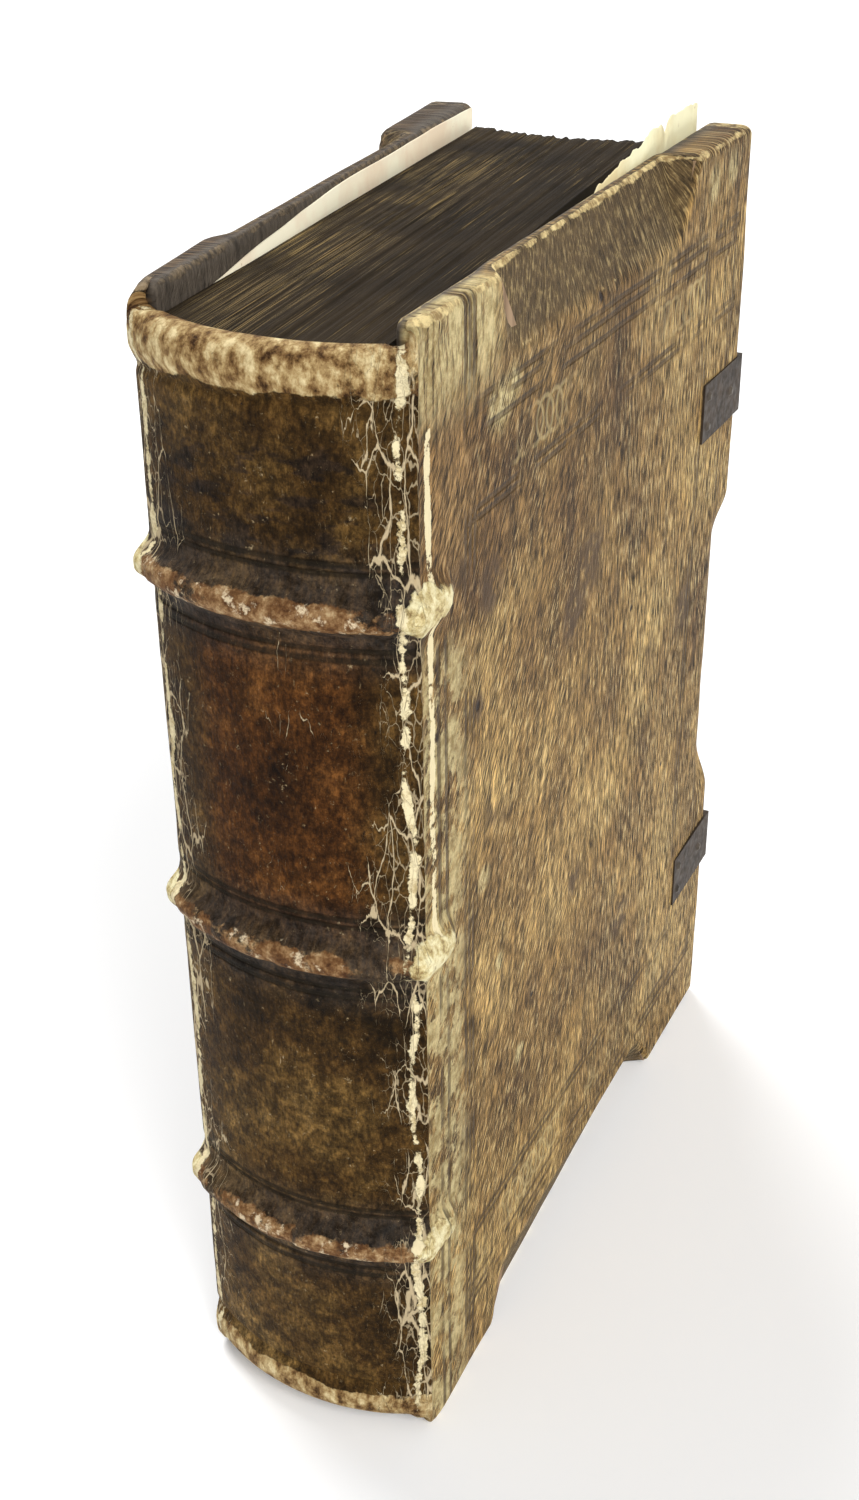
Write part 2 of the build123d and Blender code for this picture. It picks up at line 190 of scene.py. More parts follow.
# %% Node helpers and shared groups
def add(tree, kind, wires=None, output=0, **settings):
    """Add one node, set its settings, wire its inputs, and give back one of its outputs."""
    made = tree.nodes.new(kind)
    for key, value in settings.items():
        setattr(made, key, value)
    for key, value in (wires or {}).items():
        if isinstance(value, bpy.types.NodeSocket):
            tree.links.new(value, made.inputs[key])
        else:
            made.inputs[key].default_value = value
    return made.outputs[output]


def sums(tree, operation, *values):
    """One maths node over one, two or three values."""
    return add(tree, "ShaderNodeMath", dict(enumerate(values)), operation=operation)


def product(tree, *values):
    """All the values multiplied."""
    total = values[0]
    for value in values[1:]:
        total = sums(tree, "MULTIPLY", total, value)
    return total


def opposite(tree, value):
    """One minus the value."""
    return sums(tree, "SUBTRACT", 1.0, value)


def ramp(tree, value, low, high):
    """0 at low, 1 at high, clamped, with a smooth step between."""
    return add(tree, "ShaderNodeMapRange", {"Value": value, "From Min": low, "From Max": high},
               interpolation_type="SMOOTHSTEP")


def between(tree, value, low, high, soft):
    """1 from low to high, and soft at both ends."""
    return product(tree, ramp(tree, value, low - soft, low), opposite(tree, ramp(tree, value, high, high + soft)))


def mix(tree, share, first, second, blend="MIX"):
    """Mix two colours."""
    second = (*second, 1) if isinstance(second, tuple) else second
    return add(tree, "ShaderNodeMix", {0: share, 6: first, 7: second}, output=2, data_type="RGBA", blend_type=blend)


def colours(tree, value, *stops):
    """A colour ramp from (place, colour) stops."""
    made = tree.nodes.new("ShaderNodeValToRGB")
    tree.links.new(value, made.inputs[0])
    elements = made.color_ramp.elements
    elements[0].position, elements[0].color = stops[0][0], (*stops[0][1], 1)
    elements[1].position, elements[1].color = stops[-1][0], (*stops[-1][1], 1)
    for place, colour in stops[1:-1]:
        elements.new(place).color = (*colour, 1)
    return made.outputs[0]


def greys(tree, value, *stops):
    """A colour ramp of plain greys from (place, level) stops."""
    return colours(tree, value, *[(place, (level,) * 3) for place, level in stops])


def stretched(tree, vector, scale, turn=0.0):
    """The vector turned by some degrees about its third axis, then scaled."""
    return add(tree, "ShaderNodeMapping", {"Vector": vector, "Rotation": (0, 0, math.radians(turn)), "Scale": scale})


def cloud(tree, vector, scale, detail=4.0, rough=0.55):
    """Plain noise from 0 to 1."""
    return add(tree, "ShaderNodeTexNoise", {"Vector": vector, "Scale": scale, "Detail": detail, "Roughness": rough})


def split(tree, vector):
    """The first two parts of a vector."""
    made = tree.nodes.new("ShaderNodeSeparateXYZ")
    tree.links.new(vector, made.inputs[0])
    return made.outputs[0], made.outputs[1]


def new_group(name, inputs, outputs):
    """An empty node group with named inputs and outputs: returns the group, its inputs and its output node."""
    group = bpy.data.node_groups.new(name, "ShaderNodeTree")
    for label, kind, value in inputs:
        socket = group.interface.new_socket(label, in_out="INPUT", socket_type=kind)
        if value is not None:
            socket.default_value = value
    for label, kind in outputs:
        group.interface.new_socket(label, in_out="OUTPUT", socket_type=kind)
    source = group.nodes.new("NodeGroupInput")
    sink = group.nodes.new("NodeGroupOutput")
    return group, source.outputs, sink.inputs


def use_group(tree, group, wires):
    """Place a group in a tree and wire it."""
    made = tree.nodes.new("ShaderNodeGroup")
    made.node_tree = group
    for key, value in wires.items():
        if isinstance(value, bpy.types.NodeSocket):
            tree.links.new(value, made.inputs[key])
        else:
            made.inputs[key].default_value = value
    return made.outputs[0]


FLOAT, VECTOR = "NodeSocketFloat", "NodeSocketVector"

streaks, given, result = new_group(
    "streaks", [("Vector", VECTOR, None), ("Along", FLOAT, 4.0), ("Across", FLOAT, 60.0), ("Turn", FLOAT, 0.0)],
    [("Fac", FLOAT)])
bend = cloud(streaks, given["Vector"], 3.0, 2.0)
spin = add(streaks, "ShaderNodeVectorRotate", {"Vector": given["Vector"], "Angle": given["Turn"]},
           rotation_type="Z_AXIS")
side, length = split(streaks, spin)
wide = sums(streaks, "ADD", product(streaks, side, given["Across"]), product(streaks, bend, 6.0))
joined = add(streaks, "ShaderNodeCombineXYZ", {0: wide, 1: product(streaks, length, given["Along"])})
streaks.links.new(cloud(streaks, joined, 1.0, 5.0, 0.65), result["Fac"])

cracks, given, result = new_group(
    "craquelure", [("Vector", VECTOR, None), ("Scale", FLOAT, 20.0), ("Width", FLOAT, 0.03), ("Open", FLOAT, 1.0)],
    [("Fac", FLOAT)])
wobble = add(cracks, "ShaderNodeTexNoise", {"Vector": given["Vector"], "Scale": 34.0, "Detail": 4.0}, output=1)
wobble = add(cracks, "ShaderNodeVectorMath", {0: wobble, 3: 0.028}, operation="SCALE")
shifted = add(cracks, "ShaderNodeVectorMath", {0: given["Vector"], 1: wobble}, operation="ADD")
edge = add(cracks, "ShaderNodeTexVoronoi", {"Vector": shifted, "Scale": given["Scale"]}, feature="DISTANCE_TO_EDGE")
limit = sums(cracks, "ADD", product(cracks, given["Width"], given["Open"]), 0.0001)
cracks.links.new(opposite(cracks, ramp(cracks, edge, product(cracks, limit, 0.4), limit)), result["Fac"])

scuff, given, result = new_group(
    "scuff", [("Vector", VECTOR, None), ("Wear", FLOAT, 0.0), ("Amount", FLOAT, 0.5), ("Scale", FLOAT, 160.0)],
    [("Fac", FLOAT)])
broken = cloud(scuff, given["Vector"], given["Scale"], 6.0, 0.7)
reach = sums(scuff, "ADD", broken, product(scuff, given["Wear"], given["Amount"]))
scuff.links.new(ramp(scuff, reach, 0.72, 0.82), result["Fac"])

flakes, given, result = new_group("flakes", [("Vector", VECTOR, None), ("Line", FLOAT, 0.0)], [("Fac", FLOAT)])
broad = cloud(flakes, given["Vector"], 150.0, 4.0, 0.65)
fine = cloud(flakes, given["Vector"], 620.0, 5.0, 0.7)
both = sums(flakes, "ADD", product(flakes, broad, 1.1), product(flakes, fine, 0.7))
reach = sums(flakes, "ADD", both, product(flakes, given["Line"], 0.5))
has_line = ramp(flakes, given["Line"], 0.02, 0.2)
flakes.links.new(product(flakes, ramp(flakes, reach, 1.27, 1.35), has_line), result["Fac"])
print("groups:", [group.name for group in bpy.data.node_groups])


# %% [markdown]
# ## Materials
# Each finish is a Principled shader. Its colour is built up in layers in the order that age laid them on:
# dyed leather, streaked grain, handling, stains, tooling, then worn edges. The height of the same layers
# feeds a Bump node.


# %% Material helpers
def new_material(name, rough=0.6, metallic=0.0):
    """A material with an empty tree and a Principled shader; returns the material, tree and shader."""
    material = bpy.data.materials.new(name)
    material.use_nodes = True
    tree = material.node_tree
    tree.nodes.clear()
    shader = tree.nodes.new("ShaderNodeBsdfPrincipled")
    shader.inputs["Roughness"].default_value = rough
    shader.inputs["Metallic"].default_value = metallic
    out = tree.nodes.new("ShaderNodeOutputMaterial")
    tree.links.new(shader.outputs[0], out.inputs[0])
    return material, tree, shader


def bumped(tree, shader, height, strength, distance):
    """Feed a height to the shader's normal."""
    normal = add(tree, "ShaderNodeBump", {"Height": height, "Strength": strength, "Distance": distance * MM})
    tree.links.new(normal, shader.inputs["Normal"])


def place_map(tree):
    """The piece's own map, in decimetres: x is depth or round the back, y is height."""
    return add(tree, "ShaderNodeUVMap", uv_map="place")


def mask(tree, name):
    """A point mask that the mesh carries."""
    return add(tree, "ShaderNodeAttribute", output=2, attribute_name=name)


def object_place(tree):
    """Object coordinates, in metres."""
    return add(tree, "ShaderNodeTexCoord", output=3)


# %% [markdown]
# ### Leather on the boards
# Golden tan, rubbed along the grain into fine vertical streaks whose tops carry a painted golden highlight, darker
# where hands and damp reached it, and pale yellow beside the joint. The fillets, the pairs of blind lines that a
# binder's heated tool leaves, are thin dark grooves at fixed distances from the edges. The roll between them is a plain
# band of small arches.


# %% Board leather
def line_at(tree, value, places, width):
    """1 on any of the thin lines at those values."""
    total = 0.0
    for place in places:
        gap = sums(tree, "ABSOLUTE", sums(tree, "SUBTRACT", value, place))
        total = sums(tree, "MAXIMUM", total, opposite(tree, ramp(tree, gap, width * 0.3, width)))
    return total


def fillets(tree, deep, high):
    """Blind lines: pairs beside the joint, along head and tail, and beside the fore-edge."""
    beside = line_at(tree, deep, (0.052, 0.08, 0.155, 0.172, 0.188), 0.0075)
    beside = product(tree, beside, sums(tree, "MAXIMUM", ramp(tree, deep, 0.12, 0.13),
                                        opposite(tree, ramp(tree, high, 1.63, 1.66))))
    level = line_at(tree, high, [offset for gap in (0.165, 0.185, 0.215, 0.335, 0.352) for offset in (gap, 2.15 - gap)],
                    0.007)
    level = product(tree, level, ramp(tree, deep, 0.15, 0.17), opposite(tree, ramp(tree, deep, 1.49, 1.5)))
    far = line_at(tree, deep, (1.3, 1.318, 1.46, 1.478), 0.007)
    far = product(tree, far, between(tree, high, 0.17, 1.98, 0.01))
    return sums(tree, "MAXIMUM", beside, sums(tree, "MAXIMUM", level, far))


def roll(tree, along, across, pitch, half):
    """A plain roll: overlapping rings, one each pitch, in a band of half a width each way of across = 0."""
    total = 0.0
    for start in (0.0, 0.5):
        turned = sums(tree, "FRACT", sums(tree, "ADD", sums(tree, "DIVIDE", along, pitch), start))
        side = product(tree, sums(tree, "SUBTRACT", turned, 0.5), pitch)
        far = sums(tree, "SQRT", sums(tree, "ADD", product(tree, side, side), product(tree, across, across)))
        gap = sums(tree, "ABSOLUTE", sums(tree, "SUBTRACT", far, half * 0.78))
        total = sums(tree, "MAXIMUM", total, opposite(tree, ramp(tree, gap, 0.002, 0.007)))
    return total


def spots(tree, deep, high, places):
    """1 inside each round spot, given as (deep, high, radius)."""
    total = 0.0
    for at_deep, at_high, radius in places:
        x = sums(tree, "SUBTRACT", deep, at_deep)
        y = sums(tree, "SUBTRACT", high, at_high)
        far = sums(tree, "SQRT", sums(tree, "ADD", product(tree, x, x), product(tree, y, y)))
        total = sums(tree, "MAXIMUM", total, opposite(tree, ramp(tree, far, radius * 0.35, radius)))
    return total


STAINS = ((0.25, 1.66, 0.07), (0.7, 1.53, 0.1), (0.62, 1.46, 0.08), (0.67, 0.86, 0.05), (0.2, 1.47, 0.035),
          (1.28, 1.2, 0.08), (0.95, 0.6, 0.07))
WORMHOLES = ((0.2, 1.47, 0.012), (0.71, 2.01, 0.013), (0.46, 0.72, 0.008), (0.93, 1.34, 0.009), (0.34, 0.33, 0.008),
             (1.18, 0.86, 0.008), (0.83, 1.71, 0.007))
PALE_PATCHES = ((0.28, 1.95, 0.06), (0.33, 1.97, 0.045), (1.31, 2.08, 0.05), (1.43, 2.09, 0.045), (0.23, 1.12, 0.035),
                (0.4, 0.62, 0.03), (0.3, 0.9, 0.025))


def pale_bulge(tree, base, solid):
    """The rubbed pale skin over the end of a cord: returns the new colour and how much of it there is."""
    cover = use_group(tree, scuff, {"Vector": solid, "Wear": mask(tree, "bulge"), "Amount": 0.52, "Scale": 240.0})
    tone = colours(tree, cloud(tree, solid, 380.0, 6.0, 0.72), (0.36, (0.25, 0.16, 0.06)), (0.47, (0.62, 0.5, 0.24)),
                   (0.6, (0.88, 0.8, 0.5)))
    return mix(tree, cover, base, tone), cover


def board_leather(name, dark, tan, gold, worn_dark, worn_and_highlight_pale, front):
    """The covering of one board: the pale colour of rubbed edges also paints the highlights on the streaks, and front
    is 1 for the front board's yellow joint, pale corner and spots.
    """
    material, tree, shader = new_material(name, 0.6)
    shader.inputs["Specular IOR Level"].default_value = 0.16
    where, solid = place_map(tree), object_place(tree)
    deep, high = split(tree, where)
    wander = product(tree, sums(tree, "SUBTRACT", cloud(tree, solid, 60.0, 3.0), 0.5), 0.05)
    base = colours(tree, cloud(tree, solid, 26.0, 7.0, 0.64), (0.35, dark), (0.5, tan), (0.64, gold))
    near = opposite(tree, ramp(tree, deep, 0.45, 1.0))
    upright = use_group(tree, streaks, {"Vector": where, "Along": 24.0, "Across": 230.0})
    slant = use_group(tree, streaks, {"Vector": where, "Along": 26.0, "Across": 190.0, "Turn": 0.62})
    hair = sums(tree, "ADD", product(tree, upright, opposite(tree, product(tree, near, 0.7))),
                product(tree, slant, product(tree, near, 0.7)))
    coarse = use_group(tree, streaks, {"Vector": where, "Along": 5.0, "Across": 70.0, "Turn": 0.05})
    base = mix(tree, 0.9, base, greys(tree, coarse, (0.38, 0.45), (0.5, 0.95), (0.62, 1.45)), "MULTIPLY")
    base = mix(tree, 1.0, base, greys(tree, hair, (0.41, 0.13), (0.5, 0.85), (0.58, 1.8)), "MULTIPLY")
    # Painted highlight: where the hair streaks stand highest, a pale gold is painted on for the light they would catch.
    painted_highlight = product(tree, ramp(tree, hair, 0.53, 0.61), ramp(tree, cloud(tree, solid, 90.0, 4.0), 0.34, 0.56))
    base = mix(tree, product(tree, painted_highlight, 0.7), base, worn_and_highlight_pale)
    upper = product(tree, ramp(tree, high, 1.25, 2.05), opposite(tree, ramp(tree, deep, 0.7, 1.5)))
    base = mix(tree, product(tree, upper, 0.75), base, (0.58, 0.55, 0.56), "MULTIPLY")
    near_top = product(tree, opposite(tree, ramp(tree, deep, 0.15, 0.45)), between(tree, high, 1.68, 1.97, 0.08))
    base = mix(tree, product(tree, near_top, 0.7), base, (0.6, 0.5, 0.46), "MULTIPLY")
    if front:
        low = opposite(tree, ramp(tree, sums(tree, "ADD", high, wander), 1.58, 1.68))
        beside = opposite(tree, ramp(tree, sums(tree, "ADD", deep, wander), 0.1, 0.19))
        yellow = product(tree, beside, low, ramp(tree, cloud(tree, solid, 150.0, 6.0, 0.72), 0.44, 0.54))
        corner = product(tree, ramp(tree, high, 1.95, 2.08), opposite(tree, ramp(tree, deep, 0.24, 0.31)),
                         ramp(tree, coarse, 0.4, 0.52))
        pale = sums(tree, "MAXIMUM", product(tree, yellow, 0.75), product(tree, corner, 0.85))
        pale = sums(tree, "MAXIMUM", pale, product(tree, spots(tree, deep, high, PALE_PATCHES),
                                                   ramp(tree, hair, 0.42, 0.55)))
        cream = colours(tree, cloud(tree, solid, 420.0, 4.0, 0.7), (0.38, (0.34, 0.25, 0.1)), (0.6, (0.72, 0.6, 0.31)))
        base = mix(tree, pale, base, cream)
        thin = product(tree, line_at(tree, sums(tree, "ADD", deep, product(tree, wander, 0.4)), (0.03,), 0.014),
                       between(tree, high, 1.1, 1.98, 0.03))
        thin_line = use_group(tree, flakes, {"Vector": solid, "Line": thin})
        base = mix(tree, thin_line, base, (0.84, 0.72, 0.44))
    bevel = mask(tree, "bevel")
    speck = cloud(tree, solid, 520.0, 4.0, 0.7)
    bevel_tone = colours(tree, sums(tree, "ADD", product(tree, speck, 0.4), product(tree, hair, 0.6)),
                         (0.4, (0.03, 0.019, 0.008)), (0.52, (0.1, 0.065, 0.027)), (0.6, (0.34, 0.25, 0.11)))
    base = mix(tree, product(tree, bevel, 0.88), base, bevel_tone)
    stain = product(tree, ramp(tree, cloud(tree, solid, 55.0, 5.0, 0.65), 0.6, 0.74), 0.5)
    tooled = product(tree, fillets(tree, deep, high), ramp(tree, cloud(tree, solid, 80.0, 4.0), 0.36, 0.55))
    rolled = sums(tree, "MAXIMUM", roll(tree, deep, sums(tree, "SUBTRACT", high, 1.875), 0.085, 0.045),
                  roll(tree, deep, sums(tree, "SUBTRACT", high, 0.275), 0.085, 0.045))
    rolled = product(tree, rolled, between(tree, deep, 0.2, 1.28, 0.01), ramp(tree, cloud(tree, solid, 50.0, 4.0), 0.42, 0.6))
    if front:
        stain = sums(tree, "MAXIMUM", stain, product(tree, spots(tree, deep, high, STAINS),
                                                     ramp(tree, cloud(tree, solid, 300.0, 5.0), 0.32, 0.52), 0.8))
    base = mix(tree, stain, base, (0.075, 0.045, 0.024))
    base = mix(tree, product(tree, tooled, 0.72), base, (0.07, 0.042, 0.018))
    base = mix(tree, product(tree, rolled, 0.3), base, worn_and_highlight_pale)
    worn = use_group(tree, scuff, {"Vector": solid, "Wear": mask(tree, "edge"), "Amount": 0.36, "Scale": 150.0})
    worn_colour = colours(tree, cloud(tree, solid, 480.0, 4.0, 0.7), (0.4, worn_dark), (0.6, worn_and_highlight_pale))
    base = mix(tree, worn, base, worn_colour)
    inner = mask(tree, "inner")
    inner_tone = greys(tree, use_group(tree, streaks, {"Vector": where, "Along": 12.0, "Across": 90.0}), (0.35, 0.05),
                       (0.65, 0.14))
    inner_tone = mix(tree, 1.0, inner_tone, (1.0, 0.8, 0.6), "MULTIPLY")
    base = mix(tree, product(tree, inner, opposite(tree, product(tree, worn, 0.7))), base, inner_tone)
    base, bulge = pale_bulge(tree, base, solid)
    flaked = use_group(tree, flakes, {"Vector": solid, "Line": mask(tree, "line")})
    base = mix(tree, flaked, base, (0.8, 0.68, 0.45))
    hole = spots(tree, deep, high, WORMHOLES) if front else 0.0
    base = mix(tree, hole, base, (0.02, 0.012, 0.008))
    tree.links.new(base, shader.inputs["Base Color"])
    tree.links.new(greys(tree, hair, (0.35, 0.75), (0.65, 0.5)), shader.inputs["Roughness"])
    height = sums(tree, "ADD", product(tree, hair, 0.8), product(tree, speck, 0.45))
    height = sums(tree, "ADD", height, product(tree, sums(tree, "MAXIMUM", flaked, bulge), 0.25))
    cut = sums(tree, "MAXIMUM", tooled, sums(tree, "MAXIMUM", product(tree, rolled, 0.5), hole))
    bumped(tree, shader, sums(tree, "SUBTRACT", height, product(tree, cut, 0.9)), 1.0, 0.8)
    return material


# The last two colours are for rubbed edges; the pale one also paints the highlights on the streaks.
front_leather = board_leather("front_board_leather", (0.12, 0.064, 0.02), (0.27, 0.16, 0.05), (0.44, 0.29, 0.105),
                              (0.3, 0.2, 0.08), (0.78, 0.62, 0.3), True)
back_leather = board_leather("back_board_leather", (0.03, 0.017, 0.008), (0.075, 0.043, 0.017), (0.145, 0.088, 0.036),
                             (0.03, 0.021, 0.013), (0.26, 0.19, 0.11), False)
print("board leathers done")


# %% [markdown]
# ### Leather on the back
# The spine has seen the most light and handling, so it is dark brown and dry. It has cracked into fine
# pale lines beside both joints, and the bands and caps, which stand proud, are rubbed to the tan flesh.


# %% Spine leather
def spine_finish():
    """Dark cracked leather, rubbed bare on the bands and caps."""
    material, tree, shader = new_material("back_strip_leather", 0.55)
    shader.inputs["Specular IOR Level"].default_value = 0.05
    where, solid = place_map(tree), object_place(tree)
    round_way, high = split(tree, where)
    base = colours(tree, cloud(tree, solid, 42.0, 7.0, 0.68), (0.34, (0.013, 0.007, 0.002)), (0.48, (0.04, 0.02, 0.005)),
                   (0.6, (0.08, 0.044, 0.012)), (0.72, (0.15, 0.09, 0.03)))
    red = product(tree, between(tree, high, 1.22, 1.6, 0.12), between(tree, round_way, -0.08, 0.12, 0.09))
    base = mix(tree, product(tree, red, 0.6), base, (1.5, 0.92, 0.75), "MULTIPLY")
    title = product(tree, between(tree, high, 1.8, 1.95, 0.05), between(tree, round_way, -0.17, 0.18, 0.05),
                    ramp(tree, cloud(tree, stretched(tree, where, (14.0, 30.0, 1.0)), 1.0, 3.0), 0.48, 0.6))
    base = mix(tree, product(tree, title, 0.75), base, (0.012, 0.008, 0.006))
    fine = use_group(tree, streaks, {"Vector": where, "Along": 60.0, "Across": 150.0})
    base = mix(tree, 0.9, base, greys(tree, fine, (0.36, 0.5), (0.5, 1.0), (0.66, 1.75)), "MULTIPLY")
    lower = opposite(tree, ramp(tree, high, 0.3, 1.1))
    base = mix(tree, product(tree, lower, 0.5), base, (1.45, 1.5, 1.55), "MULTIPLY")
    speck = cloud(tree, solid, 800.0, 6.0, 0.72)
    scratch = cloud(tree, stretched(tree, where, (160.0, 26.0, 1.0), 24.0), 1.0, 5.0, 0.7)
    base = mix(tree, product(tree, ramp(tree, scratch, 0.64, 0.7), 0.55), base, (0.3, 0.21, 0.1))
    base = mix(tree, ramp(tree, speck, 0.62, 0.7), base, (0.26, 0.19, 0.1))
    base = mix(tree, opposite(tree, ramp(tree, speck, 0.3, 0.37)), base, (0.01, 0.007, 0.005))
    mottle = cloud(tree, solid, 330.0, 8.0, 0.82)
    base = mix(tree, 0.85, base, greys(tree, mottle, (0.4, 0.3), (0.5, 0.95), (0.6, 2.1)), "MULTIPLY")
    band_lines = [band / 100 + side * gap for band in BANDS for side in (-1, 1) for gap in (0.062, 0.078)]
    tooled = line_at(tree, high, band_lines, 0.007)
    flank = line_at(tree, high, [band / 100 for band in BANDS], 0.13)
    base = mix(tree, product(tree, flank, 0.3), base, greys(tree, mottle, (0.4, 0.01), (0.62, 0.1)))
    base = mix(tree, product(tree, tooled, 0.7), base, (0.012, 0.009, 0.005))
    near = mask(tree, "joint")
    opened = sums(tree, "ADD", product(tree, near, 1.15), product(tree, sums(tree, "SUBTRACT", cloud(tree, solid, 75.0, 4.0, 0.6), 0.5), 3.2))
    opened = ramp(tree, sums(tree, "SUBTRACT", opened, 0.25), 0.1, 0.9)
    net = use_group(tree, cracks, {"Vector": stretched(tree, where, (1.0, 0.24, 1.0)), "Scale": 27.0, "Width": 0.05,
                                   "Open": opened})
    net2 = use_group(tree, cracks, {"Vector": stretched(tree, where, (1.0, 0.35, 1.0)), "Scale": 62.0, "Width": 0.06,
                                    "Open": product(tree, opened, near)})
    crack = sums(tree, "MAXIMUM", net, product(tree, net2, 0.6))
    base = mix(tree, product(tree, crack, 0.9), base, (0.58, 0.46, 0.28))
    crest = mask(tree, "crest")
    tan_cover = use_group(tree, scuff, {"Vector": solid, "Wear": crest, "Amount": 0.38, "Scale": 170.0})
    tan = colours(tree, cloud(tree, solid, 420.0, 6.0, 0.72), (0.34, (0.06, 0.024, 0.01)), (0.47, (0.17, 0.08, 0.03)),
                  (0.57, (0.34, 0.2, 0.09)), (0.68, (0.6, 0.44, 0.24)))
    base = mix(tree, product(tree, tan_cover, 0.92), base, tan)
    bare = use_group(tree, scuff, {"Vector": solid, "Wear": crest, "Amount": 0.19, "Scale": 300.0})
    base = mix(tree, bare, base, (0.72, 0.58, 0.38))
    cap = use_group(tree, scuff, {"Vector": solid, "Wear": mask(tree, "cap"), "Amount": 0.5, "Scale": 170.0})
    fibre_noise = cloud(tree, stretched(tree, where, (34.0, 22.0, 1.0)), 1.0, 7.0, 0.68)
    cream = colours(tree, fibre_noise, (0.36, (0.04, 0.018, 0.007)), (0.44, (0.2, 0.11, 0.04)), (0.52, (0.44, 0.3, 0.13)),
                    (0.64, (0.8, 0.66, 0.37)))
    base = mix(tree, cap, base, cream)
    base, bulge = pale_bulge(tree, base, solid)
    flaked = use_group(tree, flakes, {"Vector": solid, "Line": mask(tree, "line")})
    flake_tone = colours(tree, mottle, (0.38, (0.5, 0.38, 0.18)), (0.52, (0.86, 0.74, 0.46)))
    base = mix(tree, flaked, base, flake_tone)
    tree.links.new(base, shader.inputs["Base Color"])
    height = sums(tree, "ADD", product(tree, fine, 0.5), product(tree, speck, 0.55))
    height = sums(tree, "ADD", height, product(tree, product(tree, cap, fibre_noise), 1.2))
    height = sums(tree, "ADD", height, product(tree, sums(tree, "MAXIMUM", flaked, bulge), 0.3))
    height = sums(tree, "SUBTRACT", height, product(tree, sums(tree, "MAXIMUM", crack, tooled), 0.6))
    bumped(tree, shader, height, 1.0, 0.5)
    return material


spine_leather = spine_finish()
print("spine leather done")


# %% [markdown]
# ### Paper, metal, wood and cord
# The head of the leaves is nearly black with dirt, with fine golden streaks where single leaves stand proud.
# The loose leaf and the pasted leaf are cream rag paper. The catch plates are dark tarnished sheet metal.


# %% Paper, metal, wood and cord
def edge_paper():
    """The cut edges of the leaves: streaks run along the leaves, from the back to the fore-edge."""
    material, tree, shader = new_material("leaf_edges", 0.75)
    shader.inputs["Specular IOR Level"].default_value = 0.05
    where = place_map(tree)
    lines = cloud(tree, stretched(tree, where, (900.0, 3.0, 60.0)), 1.0, 4.0, 0.6)
    lines2 = cloud(tree, stretched(tree, where, (300.0, 1.5, 20.0)), 1.0, 3.0, 0.6)
    patches = cloud(tree, object_place(tree), 30.0, 4.0)
    base = colours(tree, patches, (0.35, (0.012, 0.008, 0.004)), (0.65, (0.03, 0.02, 0.01)))
    shade = colours(tree, lines2, (0.35, (0.55,) * 3), (0.65, (1.5,) * 3))
    base = mix(tree, 0.9, base, shade, "MULTIPLY")
    left = opposite(tree, ramp(tree, split(tree, where)[0], 0.12, 0.26))
    gold = ramp(tree, sums(tree, "ADD", lines, sums(tree, "MULTIPLY", left, 0.07)), 0.6, 0.68)
    gold = sums(tree, "MULTIPLY", gold, ramp(tree, cloud(tree, object_place(tree), 45.0, 3.0), 0.35, 0.6))
    base = mix(tree, sums(tree, "MULTIPLY", gold, 0.8), base, (0.36, 0.25, 0.1))
    tree.links.new(base, shader.inputs["Base Color"])
    bumped(tree, shader, sums(tree, "ADD", lines, lines2), 0.6, 0.35)
    return material


def sheet_paper(name, cream, shade):
    """Old rag paper, a little foxed."""
    material, tree, shader = new_material(name, 0.8)
    solid = object_place(tree)
    base = colours(tree, cloud(tree, solid, 45.0, 6.0, 0.6), (0.36, shade), (0.55, cream))
    foxing = ramp(tree, cloud(tree, solid, 260.0, 4.0, 0.6), 0.68, 0.76)
    base = mix(tree, sums(tree, "MULTIPLY", foxing, 0.6), base, (0.42, 0.27, 0.12))
    tree.links.new(base, shader.inputs["Base Color"])
    bumped(tree, shader, cloud(tree, solid, 900.0, 4.0, 0.6), 0.3, 0.2)
    return material


def metal(name, dark, light, rough):
    """Tarnished metal with a few rubbed patches."""
    material, tree, shader = new_material(name, rough, 0.12)
    shader.inputs["Specular IOR Level"].default_value = 0.2
    solid = object_place(tree)
    base = colours(tree, cloud(tree, solid, 260.0, 5.0, 0.6), (0.35, dark), (0.68, light))
    tree.links.new(base, shader.inputs["Base Color"])
    wear = cloud(tree, solid, 600.0, 4.0, 0.6)
    tree.links.new(colours(tree, wear, (0.35, (rough - 0.12,) * 3), (0.7, (rough + 0.15,) * 3)),
                   shader.inputs["Roughness"])
    bumped(tree, shader, wear, 0.4, 0.25)
    return material


def wood(name, dark, light):
    """Split board wood with its grain upright."""
    material, tree, shader = new_material(name, 0.7)
    solid = object_place(tree)
    grain = cloud(tree, stretched(tree, solid, (500.0, 500.0, 14.0)), 1.0, 5.0, 0.6)
    tree.links.new(colours(tree, grain, (0.35, dark), (0.65, light)), shader.inputs["Base Color"])
    bumped(tree, shader, grain, 0.4, 0.3)
    return material


def fibre(name, dark, light):
    """Twisted hemp: fine slanting strands."""
    material, tree, shader = new_material(name, 0.85)
    solid = object_place(tree)
    twist = add(tree, "ShaderNodeTexWave", {"Vector": solid, "Scale": 420.0, "Distortion": 3.0},
                wave_type="BANDS", bands_direction="DIAGONAL")
    tree.links.new(colours(tree, twist, (0.2, dark), (0.8, light)), shader.inputs["Base Color"])
    bumped(tree, shader, twist, 0.6, 0.4)
    return material


